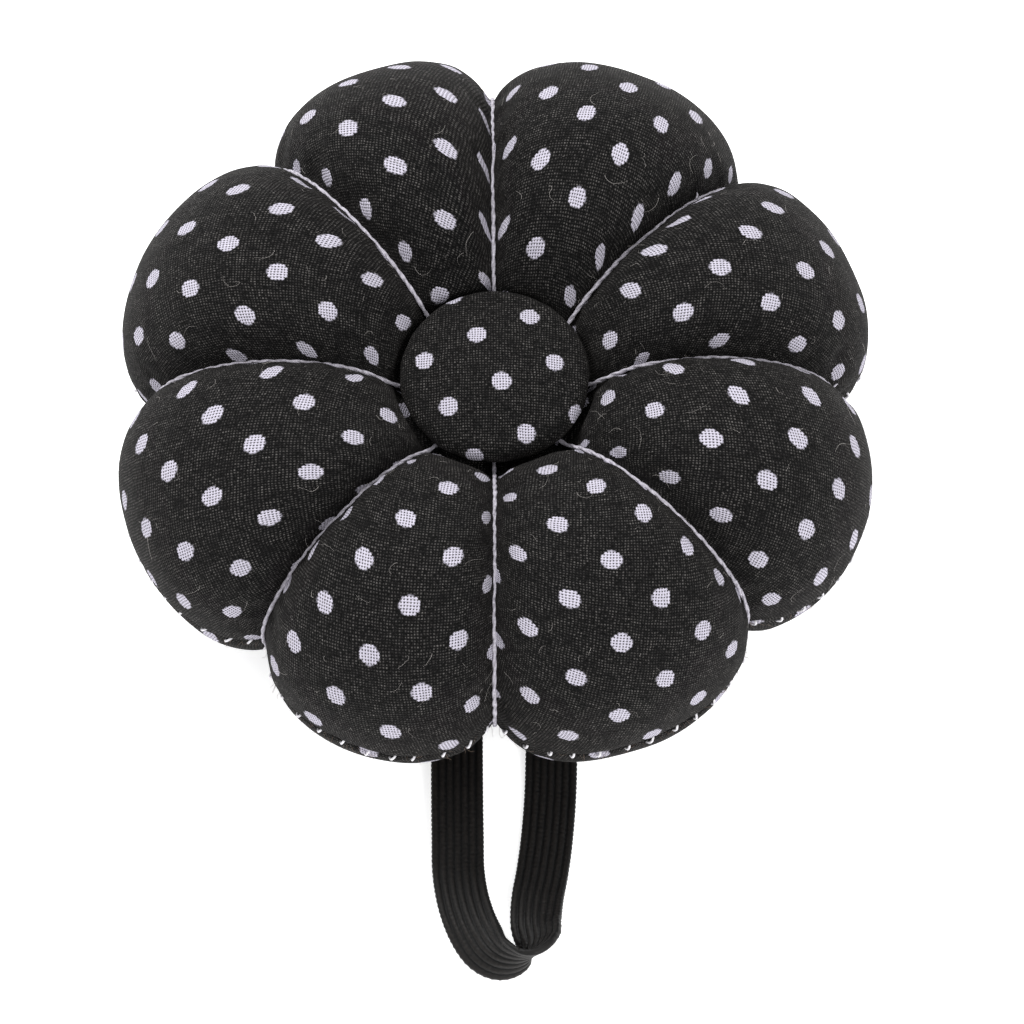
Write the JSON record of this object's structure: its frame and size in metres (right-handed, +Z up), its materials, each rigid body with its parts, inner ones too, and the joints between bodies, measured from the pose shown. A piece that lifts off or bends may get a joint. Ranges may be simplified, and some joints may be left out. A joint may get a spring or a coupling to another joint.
{
  "type": "wrist pin cushion",
  "caption": "Stuffed dotted-cotton pin cushion pulled into lobes round a covered button, with a flat elastic loop for the wrist.",
  "frame": {"origin": "centre of the flat underside, on the cushion's axis", "axes": "+Z up along the cushion's axis, the elastic loop lies towards -Y, +X to the right"},
  "size_m": [0.0904, 0.1152, 0.035],
  "materials": {
    "dotted_cotton": "black plain-weave cotton printed with white dots",
    "plain_cotton": "plain black cotton",
    "polyester_fill": "white fibre filling",
    "white_thread": "white sewing thread",
    "grey_thread": "pale grey doubled cotton thread",
    "black_thread": "black sewing thread",
    "elastic": "ribbed braided elastic",
    "card": "grey board",
    "button_metal": "pressed aluminium",
    "button_wire": "bent steel wire"
  },
  "bodies": {
    "cushion": {"top_cover": "dotted_cotton", "base_cover": "dotted_cotton", "stuffing": "polyester_fill", "rim_seam_stitches": "white_thread", "wrap_thread_1": "grey_thread", "wrap_thread_2": "grey_thread", "wrap_thread_3": "grey_thread", "wrap_thread_4": "grey_thread", "wrap_thread_5": "grey_thread", "wrap_thread_6": "grey_thread", "wrap_thread_7": "grey_thread", "wrap_thread_8": "grey_thread", "core_thread": "grey_thread", "core_knot": "grey_thread", "base_board": "card", "base_board_cloth": "plain_cotton", "base_board_stitches": "black_thread", "elastic_end_left": "elastic", "elastic_end_right": "elastic", "tack_left": "black_thread", "tack_right": "black_thread"},
    "button": {"button_cloth": "dotted_cotton", "button_cap": "button_metal", "button_back": "button_metal", "button_shank": "button_wire", "tie_thread": "grey_thread"},
    "strap": {"elastic_leg_left": "elastic", "elastic_leg_right": "elastic"},
    "strap_end": {"elastic_bend": "elastic"}
  },
  "joints": [
    {"name": "strap_swing", "type": "hinge", "parent": "cushion", "child": "strap", "pos_m": [0, -0.021, 0.0022], "axis": [1, 0, 0], "range_deg": [0, 100]},
    {"name": "strap_stretch", "type": "slide", "parent": "strap", "child": "strap_end", "axis": [0, -1, 0], "range_m": [0, 0.025], "stiffness_N_per_m": 60, "deforming": ["elastic_leg_left", "elastic_leg_right"]},
    {"name": "button_twist", "type": "hinge", "parent": "cushion", "child": "button", "pos_m": [0, 0, 0.026], "axis": [0, 0, 1], "range_deg": [-15, 15], "stiffness_Nm_per_rad": 0.002}
  ]
}
